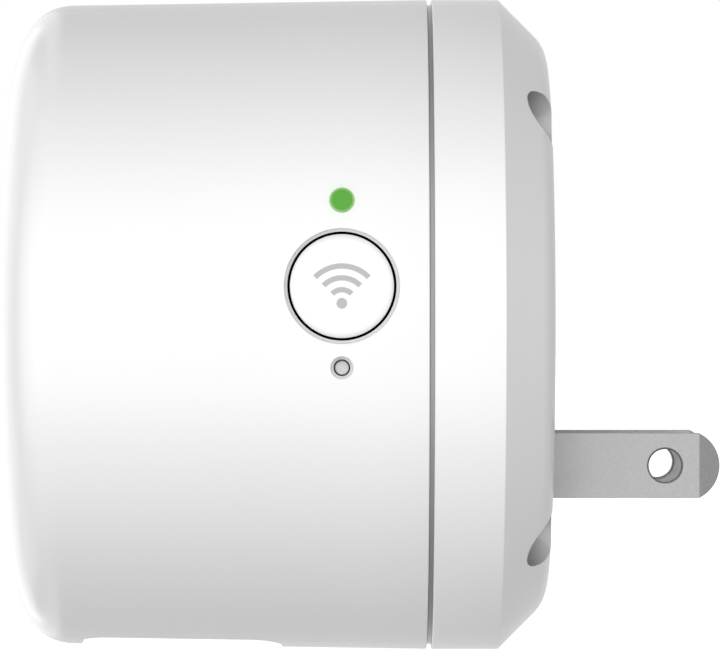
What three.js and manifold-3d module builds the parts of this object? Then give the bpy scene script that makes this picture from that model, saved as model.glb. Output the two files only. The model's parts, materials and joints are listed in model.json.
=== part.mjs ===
// A round plug-in wifi range extender: a domed front shell and a chamfered rear cover held by four
// screws, a fixed two-blade mains plug, a power board, a radio board with two antennas, and a pair
// button, status lens and reset pin in the side.
//
// Everything is drawn as seen from the front: x to the right, y up, z out of the front, in millimetres.
// z = 0 is the flat rear face and the body's axis is x = y = 0. The last lines turn this into the
// part's frame, where +X runs out along the plug blades and the controls face -Y.
import * as THREE from "three";
import { mergeVertices } from "three/addons/utils/BufferGeometryUtils.js";
import Module from "manifold-3d";

const wasm = await Module();
wasm.setup();

// ---------- driving dimensions ----------
const BODY_RADIUS = 32.25; // outside radius of the rear cover
const BODY_DEPTH = 53; // rear face to the crown of the front
const WALL = 2;
const BODY_SEGMENTS = 72;

const CHAMFER = 4.8; // 45 degree chamfer round the back
const REAR_FILLET = 3.2; // chamfer into the rear face
const SEAM = { z: 11.63, gap: 0.46, depth: 0.5 }; // shadow gap between shell and cover
const LIP = { radius: 30.1, inner: 28.9, end: 15 }; // spigot of the cover inside the shell
const COVER_WALL = 2.2;

const SIDE_TAPER = 0.0157; // mm of radius lost per mm towards the front
const CORNER = { start: 46.4, width: 7, power: 2.45 }; // soft corner round the front
const FRONT_CROWN = 0.8;

const BLADE = { spacing: 12.7, y: -13.83, width: 6.35, thickness: 1.5, length: 16.85 };
const BLADE_TIP = { start: 14.85, thickness: 0.8, arc: 3.5 };
const BLADE_HOLE = { z: 11.5, radius: 1.6 };

const CONTROLS_Z = 20; // the three controls share one line on the side
const PAIR = { y: 3.56, hole: 5.03, cap: 4.78, rim: 5.32 };
const LIGHT = { y: 11.55, hole: 1.17, lens: 1.12 };
const RESET = { y: -4, hole: 0.77, pin: 0.66, rim: 1.04 };
const RIM_DEPTH = 0.25;
const COLLAR_FACE = 27.9; // inner end of the guide collars behind the controls
const PAIR_COLLAR = 6.8;
const PLUNGER_TIP = 25.55;

const COVER_SCREWS = [45.8, 134.2, 228.4, 311.6].map((degrees) => {
  const a = THREE.MathUtils.degToRad(degrees);
  return { x: 27.1 * Math.cos(a), y: 27.1 * Math.sin(a) };
});
const COUNTERBORE = { radius: 2.8, seat: 10.5 };
const SHELL_BOSS = { radius: 3.4, face: 12.6, end: 24 };

const VENT = { z: 36.1, length: 20, width: 17, depth: 0.8, slots: 5, pitch: 3.4 };

const POWER_BOARD = { z: 8.2, thickness: 1.6, radius: 25.6 };
const POWER_TOP = POWER_BOARD.z + POWER_BOARD.thickness;
const MAIN_BOARD = { z: 22.2, thickness: 1.2, radius: 26.6 };
const MAIN_TOP = MAIN_BOARD.z + MAIN_BOARD.thickness;
const GAP = 0.05; // between pieces that touch

const RETAINER = { z: 4, thickness: 1.8, screwX: 10.6 };
const POWER_SCREWS = [{ x: 22.2, y: 2 }, { x: -22.2, y: 2 }];
const MAIN_SCREWS = [68, 180, 293].map((degrees) => {
  const a = THREE.MathUtils.degToRad(degrees);
  return { x: 24.1 * Math.cos(a), y: 24.1 * Math.sin(a), degrees };
});
const ANTENNA = {
  length: 22,
  width: 7,
  thickness: 0.8,
  top: 50,
  first: { x: 3, y: 14.5 }, // lies across the body
  second: { x: -15.5, y: -1 }, // stands upright
};
const LABEL = { y: 12, width: 28, height: 15, recess: 0.25 };

// ---------- materials ----------
const finish = (color, roughness, metalness = 0) =>
  new THREE.MeshStandardMaterial({ color, roughness, metalness });
const WHITE = finish(0xf4f4f4, 0.3);
const WHITE_MATT = finish(0xe6e6e2, 0.6);
const LENS = finish(0x63b548, 0.25);
const GREY_PIN = finish(0xc2c2c2, 0.5);
const NICKEL = finish(0xb9b9b9, 0.35, 1);
const STEEL = finish(0x8f9296, 0.35, 1);
const BOARD = finish(0x1f6b3a, 0.5);
const BLACK = finish(0x1b1b1d, 0.5);
const CAN = finish(0x2b2d33, 0.4);
const FERRITE = finish(0x3a3a3c, 0.7);
const TAPE = finish(0xd9b63a, 0.5);
const BLUE = finish(0x2c5ea8, 0.5);
const ALUMINIUM = finish(0xa8abb0, 0.4, 1);
const LABEL_STOCK = finish(0xd8d8d6, 0.5);
const PAD = finish(0x8fa3b8, 0.8);
const SHEET = finish(0xe8e2cf, 0.5);

// ---------- solids ----------
// A closed three.js geometry as a manifold solid, whichever way its faces are wound.
function solid(geometry) {
  const bare = geometry.index ? geometry.toNonIndexed() : geometry.clone();
  bare.deleteAttribute("normal");
  bare.deleteAttribute("uv");
  const merged = mergeVertices(bare, 1e-4);
  const point = (i) => new THREE.Vector3().fromBufferAttribute(merged.attributes.position, i);
  const faces = [];
  let volume = 0;
  for (let i = 0; i < merged.index.count; i += 3) {
    const [a, b, c] = [0, 1, 2].map((k) => merged.index.getX(i + k));
    if (a === b || b === c || c === a) continue;
    faces.push([a, b, c]);
    volume += point(a).dot(point(b).cross(point(c)));
  }
  const triVerts = new Uint32Array(faces.flatMap(([a, b, c]) => (volume < 0 ? [a, c, b] : [a, b, c])));
  const vertProperties = merged.attributes.position.array;
  return new wasm.Manifold(new wasm.Mesh({ numProp: 3, vertProperties, triVerts }));
}

const union = (solids) => solids.reduce((all, one) => all.add(one));

const block = (x0, x1, y0, y1, z0, z1) =>
  solid(
    new THREE.BoxGeometry(x1 - x0, y1 - y0, z1 - z0).translate((x0 + x1) / 2, (y0 + y1) / 2, (z0 + z1) / 2),
  );

// A box centred on (x, y) that stands from z0 to z1.
const pad = (x, y, width, height, z0, z1) =>
  block(x - width / 2, x + width / 2, y - height / 2, y + height / 2, z0, z1);

// A cylinder along z.
const rod = (radius, z0, z1, x = 0, y = 0, segments = 24) =>
  solid(
    new THREE.CylinderGeometry(radius, radius, z1 - z0, segments)
      .rotateX(Math.PI / 2)
      .translate(x, y, (z0 + z1) / 2),
  );

// A cylinder along x, on the line of the side controls.
const rodX = (radius, x0, x1, y, segments = 32) =>
  solid(
    new THREE.CylinderGeometry(radius, radius, x1 - x0, segments)
      .rotateZ(Math.PI / 2)
      .translate((x0 + x1) / 2, y, CONTROLS_Z),
  );

// A profile of [radius, z] points turned about the z axis. A profile that starts off the axis is closed up.
function turned(profile, segments = BODY_SEGMENTS) {
  const points = profile.map(([r, z]) => new THREE.Vector2(r, z));
  if (points[0].x > 0) points.push(points[0].clone());
  return solid(new THREE.LatheGeometry(points, segments).rotateX(Math.PI / 2));
}

// A flat shape in x and y, standing from z0 to z1.
function slab(shape, z0, z1, curveSegments = 24) {
  const options = { depth: z1 - z0, bevelEnabled: false, curveSegments };
  return solid(new THREE.ExtrudeGeometry(shape, options).translate(0, 0, z0));
}

function roundedRect(width, height, radius) {
  const [w, h] = [width / 2, height / 2];
  const shape = new THREE.Shape();
  shape.absarc(w - radius, h - radius, radius, 0, Math.PI / 2);
  shape.absarc(radius - w, h - radius, radius, Math.PI / 2, Math.PI);
  shape.absarc(radius - w, radius - h, radius, Math.PI, 1.5 * Math.PI);
  shape.absarc(w - radius, radius - h, radius, 1.5 * Math.PI, 2 * Math.PI);
  return shape;
}

// The solid as a named mesh.
function piece(name, made, material) {
  const { numProp, vertProperties, triVerts } = made.simplify(0.002).getMesh();
  const position = new Float32Array((vertProperties.length / numProp) * 3);
  for (let i = 0; i < position.length / 3; i++)
    position.set(vertProperties.subarray(i * numProp, i * numProp + 3), i * 3);
  const geometry = new THREE.BufferGeometry()
    .setAttribute("position", new THREE.BufferAttribute(position, 3))
    .setIndex(new THREE.BufferAttribute(triVerts, 1));
  const mesh = new THREE.Mesh(geometry, material);
  mesh.name = name;
  return mesh;
}

// A group at a place, which may be turned over so that its z runs backwards.
function placed(meshes, x, y, z, turnedOver = false) {
  const group = new THREE.Group();
  group.position.set(x, y, z);
  if (turnedOver) group.rotation.x = Math.PI;
  group.add(...meshes);
  return group;
}

// ---------- body profiles ----------
const sideRadius = (z) => BODY_RADIUS - SIDE_TAPER * Math.max(0, z - SEAM.z);
const CORNER_RADIUS = sideRadius(CORNER.start) - CORNER.width; // where the corner meets the front face
const domeZ = (r) => BODY_DEPTH - FRONT_CROWN * (r / CORNER_RADIUS) ** 2;

// The front shell's outline from its rear edge to the axis, moved inwards by an offset.
function shellOutline(offset, rearZ, cornerSteps = 8) {
  const reach = CORNER.width - offset;
  const depth = domeZ(sideRadius(CORNER.start)) - CORNER.start - offset / 2;
  const outline = [[sideRadius(rearZ) - offset, rearZ]];
  for (let i = 0; i <= cornerSteps; i++) {
    const t = (i / cornerSteps) * (Math.PI / 2);
    const r = CORNER_RADIUS + reach * Math.cos(t) ** (2 / CORNER.power);
    outline.push([r, domeZ(r) - offset - depth * (1 - Math.sin(t) ** (2 / CORNER.power))]);
  }
  for (const r of [0.6 * CORNER_RADIUS, 0.3 * CORNER_RADIUS, 0]) outline.push([r, domeZ(r) - offset]);
  return outline;
}

// The whole outside of the shell as a solid, moved inwards by an offset. It trims whatever meets the skin.
const shellEnvelope = (offset, rearZ = SEAM.z) =>
  turned([[0, rearZ], ...shellOutline(offset, rearZ)]);

// The rear cover's outline from the axis to the seam.
function coverOutline() {
  const bend = Math.PI / 4;
  const flat = BODY_RADIUS - CHAMFER - REAR_FILLET * Math.tan(bend / 2);
  const outline = [[0, 0]];
  for (let i = 0; i <= 4; i++) {
    const t = (i / 4) * bend;
    outline.push([flat + REAR_FILLET * Math.sin(t), REAR_FILLET * (1 - Math.cos(t))]);
  }
  outline.push([BODY_RADIUS, CHAMFER], [BODY_RADIUS, SEAM.z - SEAM.gap / 2]);
  return outline;
}

// ---------- enclosure ----------
function frontShell() {
  const edge = SEAM.z + SEAM.gap / 2;
  const cavity = shellOutline(WALL, edge, 4).reverse();
  let shell = turned([...shellOutline(0, edge), ...cavity]);
  const inside = shellEnvelope(WALL / 2, edge - 2);
  const { radius, face, end } = SHELL_BOSS;
  const bosses = COVER_SCREWS.map(({ x, y }) => rod(radius, face, end, x, y));
  for (const { x, y, degrees } of MAIN_SCREWS) {
    const foot = MAIN_TOP + GAP;
    bosses.push(rod(2.4, foot, BODY_DEPTH, x, y));
    bosses.push(block(25.5, BODY_RADIUS, -0.8, 0.8, foot, BODY_DEPTH).rotate([0, 0, degrees]));
  }
  bosses.push(rodX(PAIR_COLLAR, COLLAR_FACE, BODY_RADIUS, PAIR.y));
  bosses.push(rodX(2.2, COLLAR_FACE, BODY_RADIUS, RESET.y, 20));
  bosses.push(rodX(2, COLLAR_FACE - 1.5, BODY_RADIUS, LIGHT.y, 20));
  const { first, second, top } = ANTENNA;
  for (const along of [-8, 8]) {
    bosses.push(rod(1.2, top + GAP, BODY_DEPTH, first.x + along, first.y, 12));
    bosses.push(rod(1.2, top + GAP, BODY_DEPTH, second.x, second.y + along, 12));
  }
  shell = shell.add(union(bosses).intersect(inside));
  for (const { x, y } of COVER_SCREWS) shell = shell.subtract(rod(1.25, face - 1, 22.4, x, y, 16));
  for (const { x, y } of MAIN_SCREWS) shell = shell.subtract(rod(0.85, MAIN_BOARD.z, 30, x, y, 16));
  return shell.subtract(controlHoles()).subtract(ventCut());
}

// The holes for the button, lens and reset pin, with a shallow ledge round each that follows the skin.
function controlHoles() {
  const skin = shellEnvelope(RIM_DEPTH);
  const ledge = (radius, y) => rodX(radius, 25, 40, y).subtract(skin);
  return union([
    rodX(PAIR.hole, 20, 40, PAIR.y, 48),
    rodX(LIGHT.hole, 20, 40, LIGHT.y, 24),
    rodX(RESET.hole, 20, 40, RESET.y, 24),
    ledge(PAIR.rim, PAIR.y),
    ledge(RESET.rim, RESET.y),
  ]);
}

// A shallow panel under the body with cooling slots through it.
function ventCut() {
  const window = (width, length, radius, z) =>
    slab(roundedRect(width, length, radius), 0, 20, 6).rotate([90, 0, 0]).translate([0, -20, z]);
  const panel = window(VENT.width, VENT.length, 3, VENT.z).subtract(shellEnvelope(VENT.depth));
  const slots = Array.from({ length: VENT.slots }, (_, i) =>
    window(11, 1.4, 0.69, VENT.z + (i - (VENT.slots - 1) / 2) * VENT.pitch),
  );
  return union([panel, ...slots]);
}

function rearCover() {
  const step = SEAM.z + SEAM.gap / 2 - 0.03;
  const outside = [
    ...coverOutline(),
    [BODY_RADIUS - SEAM.depth, SEAM.z - SEAM.gap / 2],
    [BODY_RADIUS - SEAM.depth, step],
    [LIP.radius, step],
    [LIP.radius, LIP.end],
  ];
  const inside = [[LIP.inner, LIP.end], [LIP.inner, 6], [25.1, COVER_WALL], [0, COVER_WALL]];
  const envelope = turned([...outside, [0, LIP.end]]);
  const posts = COVER_SCREWS.map(({ x, y }) => rod(4.3, 0, SHELL_BOSS.face - 0.1, x, y, 32));
  posts.push(...POWER_SCREWS.map(({ x, y }) => rod(2.4, 1, POWER_BOARD.z - GAP, x, y)));
  for (const side of [-1, 1]) posts.push(rod(2, 1, RETAINER.z - GAP, side * RETAINER.screwX, BLADE.y));
  let cover = turned([...outside, ...inside]).add(union(posts).intersect(envelope));
  for (const { x, y } of COVER_SCREWS) {
    cover = cover.subtract(rod(SHELL_BOSS.radius + 0.4, SHELL_BOSS.face - 0.1, 20, x, y, 32));
    cover = cover.subtract(rod(COUNTERBORE.radius, -1, COUNTERBORE.seat, x, y, 32));
    cover = cover.subtract(rod(1.5, -1, 20, x, y, 16));
  }
  for (const { x, y } of POWER_SCREWS) cover = cover.subtract(rod(0.85, 3, 20, x, y, 16));
  for (const side of [-1, 1]) {
    const x = (side * BLADE.spacing) / 2;
    cover = cover.subtract(pad(x, BLADE.y, BLADE.thickness + 0.1, BLADE.width + 0.1, -1, 3));
    cover = cover.subtract(rod(0.85, 0.9, 8, side * RETAINER.screwX, BLADE.y, 16));
  }
  // The spigot is notched round the pair button's collar.
  cover = cover.subtract(rodX(PAIR_COLLAR + 0.3, 27, BODY_RADIUS, PAIR.y));
  const label = slab(roundedRect(LABEL.width, LABEL.height, 1.5), -1, LABEL.recess, 6);
  return cover.subtract(label.translate([0, LABEL.y, 0]));
}

function ratingLabel() {
  const outline = roundedRect(LABEL.width - 0.6, LABEL.height - 0.6, 1.3);
  return slab(outline, 0.08, LABEL.recess - 0.02, 6).translate([0, LABEL.y, 0]);
}

// A pan-head screw with a cross recess: the underside of the head at z = 0, the shank towards +z.
function screw(headRadius, headHeight, shankRadius, length) {
  const head = [[0, -headHeight], [headRadius * 0.7, -headHeight * 0.92], [headRadius, -headHeight * 0.55]];
  const shank = [[headRadius, 0], [shankRadius, 0], [shankRadius, length - 1.2], [0, length]];
  const arm = headRadius * 0.62;
  const width = headRadius * 0.14;
  const [top, bottom] = [-headHeight - 1, -headHeight * 0.35];
  const slot = block(-arm, arm, -width, width, top, bottom);
  return turned([...head, ...shank], 16).subtract(slot).subtract(slot.rotate([0, 0, 90]));
}

// ---------- plug ----------
// One blade with its centre line on the z axis: outer contact, coined tip, hole, shoulder and solder tail.
function blade() {
  const [w, t] = [BLADE.width / 2, BLADE.thickness / 2];
  const outline = new THREE.Shape();
  const half = Math.asin((w - 0.1) / BLADE_TIP.arc);
  const centre = BLADE_TIP.arc - BLADE.length;
  outline.moveTo(w, 2.25);
  outline.lineTo(w, -BLADE_TIP.start);
  outline.absarc(0, centre, BLADE_TIP.arc, half - Math.PI / 2, -half - Math.PI / 2, true);
  outline.lineTo(-w, -BLADE_TIP.start);
  outline.lineTo(-w, 2.25);
  outline.lineTo(-4.4, 2.25);
  outline.lineTo(-4.4, RETAINER.z - GAP);
  outline.lineTo(-1.9, RETAINER.z - GAP);
  outline.lineTo(-1.9, POWER_TOP + 1);
  outline.lineTo(1.9, POWER_TOP + 1);
  outline.lineTo(1.9, RETAINER.z - GAP);
  outline.lineTo(4.4, RETAINER.z - GAP);
  outline.lineTo(4.4, 2.25);
  const flat = slab(outline, -t, t, 16).subtract(rod(BLADE_HOLE.radius, -2, 2, 0, -BLADE_HOLE.z, 32));
  // The tip thins to BLADE_TIP.thickness on both sides.
  const slope = (t - BLADE_TIP.thickness / 2) / (BLADE.length - BLADE_TIP.start);
  const wedge = new THREE.Shape([
    new THREE.Vector2(-BLADE_TIP.start, t),
    new THREE.Vector2(-BLADE.length - 1, t),
    new THREE.Vector2(-BLADE.length - 1, t - slope * (BLADE.length + 1 - BLADE_TIP.start)),
  ]);
  const cut = slab(wedge, -5, 5).rotate([90, 0, 90]);
  const coined = flat.subtract(cut).subtract(cut.mirror([0, 0, 1]));
  return coined.rotate([90, 0, 90]);
}

function bladeRetainer() {
  const [z0, z1] = [RETAINER.z, RETAINER.z + RETAINER.thickness];
  let plate = slab(roundedRect(26.4, 9.4, 1.5), z0, z1, 4).translate([0, BLADE.y, 0]);
  for (const side of [-1, 1]) {
    const x = (side * BLADE.spacing) / 2;
    plate = plate.subtract(pad(x, BLADE.y, BLADE.thickness + 0.1, 3.9, z0 - 1, z1 + 1));
    plate = plate.subtract(rod(1.1, z0 - 1, z1 + 1, side * RETAINER.screwX, BLADE.y, 16));
  }
  return plate;
}

// ---------- power board, drawn with its front face at z = 0 ----------
function roundBoard(board, notchRadius, screws) {
  let made = rod(board.radius, -board.thickness, 0, 0, 0, 64);
  for (const { x, y } of COVER_SCREWS) made = made.subtract(rod(notchRadius, -9, 9, x, y));
  for (const { x, y } of screws) made = made.subtract(rod(1.1, -9, 9, x, y, 16));
  return made;
}

function powerBoard() {
  let made = roundBoard(POWER_BOARD, 4.8, POWER_SCREWS);
  for (const side of [-1, 1])
    made = made.subtract(pad((side * BLADE.spacing) / 2, BLADE.y, 1.6, 3.9, -9, 9));
  for (let pin = 0; pin < 4; pin++)
    made = made.subtract(pad(HEADER.x(pin), HEADER.y, 0.8, 0.8, -9, 9));
  return made;
}

const HEADER = { y: 20.5, x: (pin) => (pin - 1.5) * 2.54 };

function powerHeader() {
  const tail = -POWER_BOARD.thickness - 0.8;
  const pins = [0, 1, 2, 3].map((pin) => pad(HEADER.x(pin), HEADER.y, 0.64, 0.64, tail, 7.4));
  return union([pad(0, HEADER.y, 10.16, 2.5, GAP, 2.5), ...pins]);
}

function powerSocket() {
  const [z0, z1] = [-8.5, -MAIN_BOARD.thickness - GAP];
  let made = pad(0, HEADER.y, 10.3, 2.5, z0, z1);
  for (let pin = 0; pin < 4; pin++)
    made = made.subtract(pad(HEADER.x(pin), HEADER.y, 1, 1, z0 - 1, z1 - 1));
  return made;
}

// An electrolytic capacitor standing on the board, with its crimped shoulder and bevelled top.
function capacitor(radius, height) {
  const base = [[0, GAP], [radius, GAP], [radius, 1.2], [radius - 0.3, 1.6], [radius, 2]];
  const top = [[radius, height - 0.5], [radius - 0.5, height], [0, height]];
  return turned([...base, ...top], 24);
}

const TRANSFORMER = { x: 3, y: 3, core: { x: 14, y: 7 }, leg: 4, base: 1.2, height: 11.2, yoke: 2 };

function transformerCore() {
  const { core, leg, base, height, yoke } = TRANSFORMER;
  let made = pad(0, 0, core.x, core.y, base + GAP, height);
  const side = (core.x - 2 * 1.9 - leg) / 2;
  for (const way of [-1, 1])
    made = made.subtract(pad(way * (leg / 2 + side / 2), 0, side, core.y + 2, base + GAP + yoke, height - yoke));
  return made;
}

function transformerWinding() {
  const { core, leg, base, height, yoke } = TRANSFORMER;
  const [z0, z1] = [base + yoke + 0.2, height - yoke - 0.15];
  const coil = slab(roundedRect(leg + 5.2, core.y + 5.2, 1.2), z0, z1, 4);
  return coil.subtract(pad(0, 0, leg + 0.1, core.y + 0.1, z0 - 1, z1 + 1));
}

const transformerBase = () =>
  union([-1, 1].map((way) => pad(0, way * 5.4, 14, 3, GAP, TRANSFORMER.base + 1.7))).add(
    pad(0, 0, 14, 12, GAP, TRANSFORMER.base),
  );

// A moulded chip with a row of gull-wing legs on its two long sides.
function chip(width, height, thickness, legs) {
  let made = pad(0, 0, width, height, 0.15, thickness);
  const pitch = width / legs;
  for (let i = 0; i < legs; i++)
    made = made.add(pad((i - (legs - 1) / 2) * pitch, 0, pitch * 0.4, height + 2, GAP, thickness * 0.35));
  return made;
}

const fuse = () => turned([[0, GAP], [4, GAP], [4, 7.4], [3.6, 7.8], [0, 7.8]], 24);

const inductor = () =>
  turned([[0, GAP], [3.6, GAP], [3.6, 1.3], [2.6, 1.5], [2.6, 7.3], [3.6, 7.5], [3.6, 9], [0, 9]], 24);

function suppressionCapacitor() {
  const disc = solid(new THREE.CylinderGeometry(3.6, 3.6, 2.4, 24).translate(0, 0, 4.8));
  return union([disc, ...[-2.5, 2.5].map((x) => pad(x, 0, 0.7, 0.7, GAP, 3))]);
}

function outputDiode() {
  const body = solid(new THREE.CylinderGeometry(2, 2, 6, 20).rotateZ(Math.PI / 2).translate(0, 0, 2.3));
  const lead = (side) => pad(side * 3.6, 0, 0.9, 0.9, GAP, 2.75).add(pad(side * 3.2, 0, 1.6, 0.9, 1.85, 2.75));
  return body.add(lead(-1)).add(lead(1));
}

// ---------- main board, drawn with its front face at z = 0 ----------
function mainBoard() {
  const made = roundBoard(MAIN_BOARD, SHELL_BOSS.radius + 0.5, MAIN_SCREWS);
  return made.subtract(block(24.4, 40, -40, 40, -9, 9));
}

// A side-push switch on the back of the board, on the line of the controls.
function switchBody(y, width, holeRadius) {
  const body = block(21.1, 24.7, y - width / 2, y + width / 2, CONTROLS_Z - 2.1, MAIN_BOARD.z - GAP);
  return body.subtract(rodX(holeRadius, 23.3, 25, y, 20));
}

function heatSink() {
  const [width, fins, base, height] = [18, 6, 1.5, 9];
  const made = [pad(0, 0, width, width, 0, base)];
  for (let i = 0; i < fins; i++) {
    const x = -width / 2 + 0.5 + (i * (width - 1)) / (fins - 1);
    made.push(pad(x, 0, 1, width, base - 0.1, height));
  }
  return union(made);
}

function shieldCan() {
  const [width, height, depth, wall] = [16, 11, 2.2, 0.3];
  const inside = pad(0, 0, width - 2 * wall, height - 2 * wall, -1, depth - wall);
  return pad(0, 0, width, height, GAP, depth).subtract(inside);
}

// A thin coaxial lead from its connector on the board to an antenna.
function coax(points) {
  const curve = new THREE.CatmullRomCurve3(points.map((p) => new THREE.Vector3(...p)));
  const section = new THREE.Shape();
  section.absarc(0, 0, 0.55, 0, 2 * Math.PI);
  return solid(new THREE.ExtrudeGeometry(section, { steps: 22, extrudePath: curve, curveSegments: 4 }));
}

// A printed antenna: a thin strip of circuit board stuck to two pads inside the front of the shell.
const antenna = (width, height) => pad(0, 0, width, height, -ANTENNA.thickness, 0);

// ---------- controls ----------
function pairButton() {
  const cap = rodX(PAIR.cap, COLLAR_FACE - 0.85, 40, PAIR.y, 48).intersect(shellEnvelope(0.05));
  const hollow = rodX(3.6, 20, 29.5, PAIR.y, 24);
  const flange = rodX(5.6, COLLAR_FACE - 0.85, COLLAR_FACE - GAP, PAIR.y).subtract(hollow);
  return cap.subtract(hollow).add(flange).add(rodX(1.6, PLUNGER_TIP + GAP, 29.6, PAIR.y, 20));
}

function resetButton() {
  const pin = rodX(RESET.pin, COLLAR_FACE - 0.85, 31.15, RESET.y, 20);
  const flange = rodX(1.5, COLLAR_FACE - 0.85, COLLAR_FACE - GAP, RESET.y, 20);
  return union([pin, flange, rodX(0.9, PLUNGER_TIP + GAP, COLLAR_FACE - 0.8, RESET.y, 20)]);
}

function lightPipe() {
  const rodToSkin = rodX(LIGHT.lens, 24.85, 40, LIGHT.y, 24).intersect(shellEnvelope(0.02));
  return rodToSkin.add(rodX(1.9, COLLAR_FACE - 2.5, COLLAR_FACE - 1.5 - GAP, LIGHT.y, 20));
}

const plunger = (radius, y) => rodX(radius, 23.9, PLUNGER_TIP, y, 20);

// ---------- assembly ----------
const enclosure = placed(
  [
    piece("front_shell", frontShell(), WHITE),
    piece("rear_cover", rearCover(), WHITE),
    piece("rating_label", ratingLabel(), LABEL_STOCK),
  ],
  0, 0, 0,
);

const screws = new THREE.Group();
function addScrews(name, made, spots, z, turnedOver = false) {
  for (const [i, { x, y }] of spots.entries())
    screws.add(placed([piece(`${name}_${i + 1}`, made, STEEL)], x, y, z, turnedOver));
}
addScrews("cover_screw", screw(2.45, 1.9, 1.2, 11), COVER_SCREWS, COUNTERBORE.seat - GAP);
addScrews("main_board_screw", screw(1.9, 1.3, 0.8, 6.8), MAIN_SCREWS, MAIN_BOARD.z - GAP);
addScrews("power_board_screw", screw(1.9, 1.3, 0.8, 6), POWER_SCREWS, POWER_TOP + GAP, true);
const retainerSpots = [-1, 1].map((side) => ({ x: side * RETAINER.screwX, y: BLADE.y }));
const retainerTop = RETAINER.z + RETAINER.thickness;
addScrews("retainer_screw", screw(1.7, 1.1, 0.8, 4.4), retainerSpots, retainerTop + GAP, true);

const plug = new THREE.Group();
plug.add(placed([piece("blade_left", blade(), NICKEL)], -BLADE.spacing / 2, BLADE.y, 0));
plug.add(placed([piece("blade_right", blade(), NICKEL)], BLADE.spacing / 2, BLADE.y, 0));
plug.add(piece("blade_retainer", bladeRetainer(), WHITE_MATT));

// Each part stands on the board's front face at its own x and y.
const power = placed([piece("power_board", powerBoard(), BOARD)], 0, 0, POWER_TOP);
power.add(piece("power_header", powerHeader(), BLACK));
const onPower = (x, y, ...meshes) => power.add(placed(meshes, x, y, 0));
onPower(0, -20, piece("input_fuse", fuse(), BLACK));
onPower(0, -11, piece("bridge_rectifier", chip(6.4, 2.6, 2.7, 2), BLACK));
onPower(14.5, -11.5, piece("filter_inductor", inductor(), FERRITE));
onPower(-14.5, -8.5, piece("bulk_capacitor_1", capacitor(5, 11.2), CAN));
onPower(-13.5, 3.5, piece("bulk_capacitor_2", capacitor(4, 11.2), CAN));
onPower(-10.5, 14, piece("output_capacitor_1", capacitor(4, 11), CAN));
onPower(8, 15.8, piece("output_capacitor_2", capacitor(3.1, 9), CAN));
onPower(
  TRANSFORMER.x, TRANSFORMER.y,
  piece("transformer_base", transformerBase(), BLACK),
  piece("transformer_core", transformerCore(), FERRITE),
  piece("transformer_winding", transformerWinding(), TAPE),
);
onPower(15.4, 8, piece("switching_controller", chip(8.6, 5, 3.2, 4), BLACK));
onPower(13.9, 0, piece("optocoupler", chip(4.6, 4.4, 3.2, 2), BLACK));
onPower(4, -7.2, piece("suppression_capacitor", suppressionCapacitor(), BLUE));
onPower(-1.5, 14, piece("output_diode", outputDiode(), BLACK));

const sheet = rod(21.5, 21.05, 21.35, 0, 0, 64)
  .subtract(block(20.4, 30, -30, 30, 20, 23))
  .subtract(block(-5.7, 5.7, 18.6, 30, 20, 23));

const main = placed([piece("main_board", mainBoard(), BOARD)], 0, 0, MAIN_TOP);
main.add(piece("power_socket", powerSocket(), BLACK));
const onMain = (x, y, ...meshes) => main.add(placed(meshes, x, y, 0));
onMain(-6, 4, piece("wifi_chip", pad(0, 0, 12, 12, GAP, 1.1), BLACK));
onMain(-6, 4, piece("thermal_pad", pad(0, 0, 12, 12, 1.15, 1.75), PAD));
main.add(placed([piece("heat_sink", heatSink(), ALUMINIUM)], -6, 4, 1.8));
onMain(13, 1, piece("shield_can", shieldCan(), NICKEL));
onMain(-6, -11.5, piece("memory_chip", chip(10.5, 7, 1.1, 10), BLACK));
onMain(-15.8, -9, piece("flash_chip", chip(4.4, 4, 1.6, 4), BLACK));
onMain(-18.8, 7, piece("crystal", pad(0, 0, 2.5, 3.2, GAP, 0.85), NICKEL));
onMain(5.5, -14, piece("dc_inductor", pad(0, 0, 5, 5, GAP, 2.8), FERRITE));
onMain(12, 14, piece("antenna_connector_1", rod(1.4, GAP, 1.3, 0, 0, 20), NICKEL));
onMain(14, -10, piece("antenna_connector_2", rod(1.4, GAP, 1.3, 0, 0, 20), NICKEL));

const antennas = new THREE.Group();
const { length, width, first, second, top } = ANTENNA;
antennas.add(placed([piece("antenna_1", antenna(length, width), BOARD)], first.x, first.y, top));
antennas.add(placed([piece("antenna_2", antenna(width, length), BOARD)], second.x, second.y, top));
const coaxStart = MAIN_TOP + 1.4;
const lead1 = [[12, 14, coaxStart], [12, 14, 27], [14, 13, 37], [10.5, 14.5, 47], [10.5, 14.5, 49.1]];
const lead2 = [[14, -10, coaxStart], [14, -10, 27], [6, -13.5, 37], [-8, -12, 43]];
antennas.add(piece("antenna_cable_1", coax(lead1), BLACK));
antennas.add(piece("antenna_cable_2", coax([...lead2, [-14.6, -8.6, 47], [-14.6, -8.6, 49.1]]), BLACK));

const controls = new THREE.Group();
controls.add(piece("pair_button", pairButton(), WHITE));
controls.add(piece("reset_button", resetButton(), GREY_PIN));
controls.add(piece("light_pipe", lightPipe(), LENS));
const lamp = block(22.3, 24.6, LIGHT.y - 1.5, LIGHT.y + 1.5, 19, MAIN_BOARD.z - GAP);
controls.add(piece("status_light", lamp, WHITE_MATT));
controls.add(piece("pair_switch_body", switchBody(PAIR.y, 6, 1.6), BLACK));
controls.add(piece("pair_switch_plunger", plunger(1.5, PAIR.y), WHITE_MATT));
controls.add(piece("reset_switch_body", switchBody(RESET.y, 5.2, 1.3), BLACK));
controls.add(piece("reset_switch_plunger", plunger(1.2, RESET.y), WHITE_MATT));

const extender = new THREE.Group();
extender.add(enclosure, screws, plug, power, piece("insulating_sheet", sheet, SHEET), main, antennas, controls);

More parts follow.
